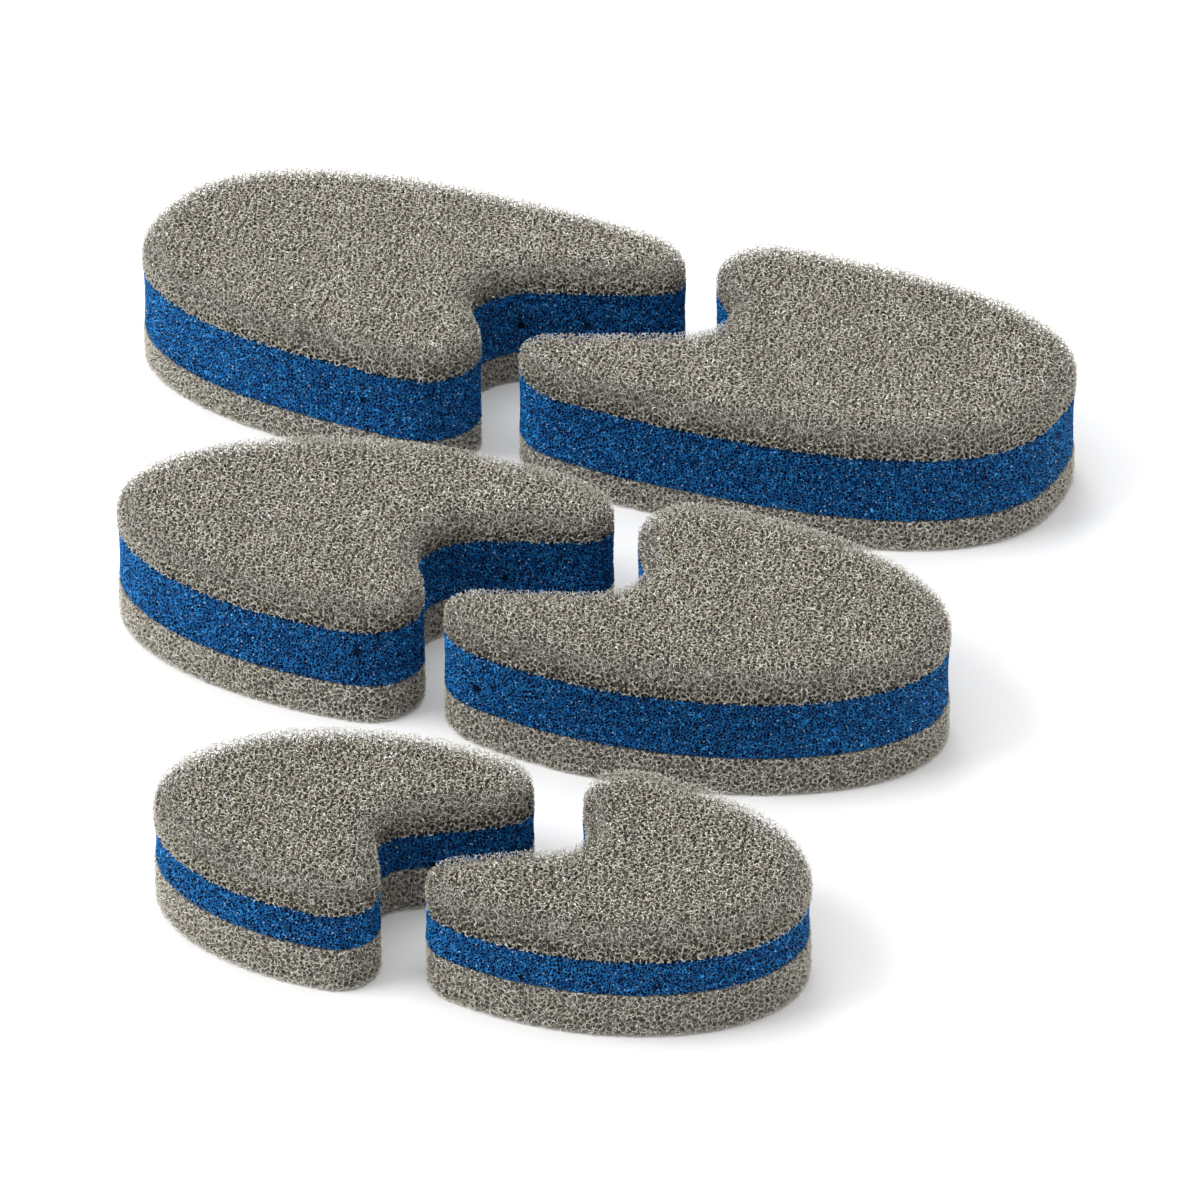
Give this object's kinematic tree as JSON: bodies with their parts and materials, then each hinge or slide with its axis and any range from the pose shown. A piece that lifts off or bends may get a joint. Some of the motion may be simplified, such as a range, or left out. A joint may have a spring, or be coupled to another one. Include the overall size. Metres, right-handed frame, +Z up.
{
  "type": "sponge filter",
  "caption": "Pond or aquarium filter sponge set: notched oval foam blocks in matched pairs, each a fine blue sponge laminated between coarse grey ones.",
  "frame": {"origin": "centre of the footprint of the whole set, on the surface that the blocks stand on", "axes": "+X to the right across each pair, +Y from the small pair to the large pair, +Z up"},
  "size_m": [0.3708, 0.5612, 0.0519],
  "materials": {
    "coarse_grey_foam": "matte",
    "fine_blue_foam": "matte"
  },
  "bodies": {
    "large_left": {"large_left_bottom_layer": "coarse_grey_foam", "large_left_middle_layer": "fine_blue_foam", "large_left_top_layer": "coarse_grey_foam"},
    "large_right": {"large_right_bottom_layer": "coarse_grey_foam", "large_right_middle_layer": "fine_blue_foam", "large_right_top_layer": "coarse_grey_foam"},
    "medium_left": {"medium_left_bottom_layer": "coarse_grey_foam", "medium_left_middle_layer": "fine_blue_foam", "medium_left_top_layer": "coarse_grey_foam"},
    "medium_right": {"medium_right_bottom_layer": "coarse_grey_foam", "medium_right_middle_layer": "fine_blue_foam", "medium_right_top_layer": "coarse_grey_foam"},
    "small_left": {"small_left_bottom_layer": "coarse_grey_foam", "small_left_middle_layer": "fine_blue_foam", "small_left_top_layer": "coarse_grey_foam"},
    "small_right": {"small_right_bottom_layer": "coarse_grey_foam", "small_right_middle_layer": "fine_blue_foam", "small_right_top_layer": "coarse_grey_foam"}
  },
  "joints": [
    {"name": "large_right_slide", "type": "slide", "parent": "large_left", "child": "large_right", "axis": [1, 0, 0], "range_m": [-0.0118, 0.04]},
    {"name": "medium_left_lift", "type": "slide", "parent": "large_left", "child": "medium_left", "axis": [0, 0, 1], "range_m": [0, 0.08]},
    {"name": "medium_right_slide", "type": "slide", "parent": "medium_left", "child": "medium_right", "axis": [1, 0, 0], "range_m": [-0.0103, 0.04]},
    {"name": "small_left_lift", "type": "slide", "parent": "large_left", "child": "small_left", "axis": [0, 0, 1], "range_m": [0, 0.08]},
    {"name": "small_right_slide", "type": "slide", "parent": "small_left", "child": "small_right", "axis": [1, 0, 0], "range_m": [-0.015, 0.04]}
  ]
}
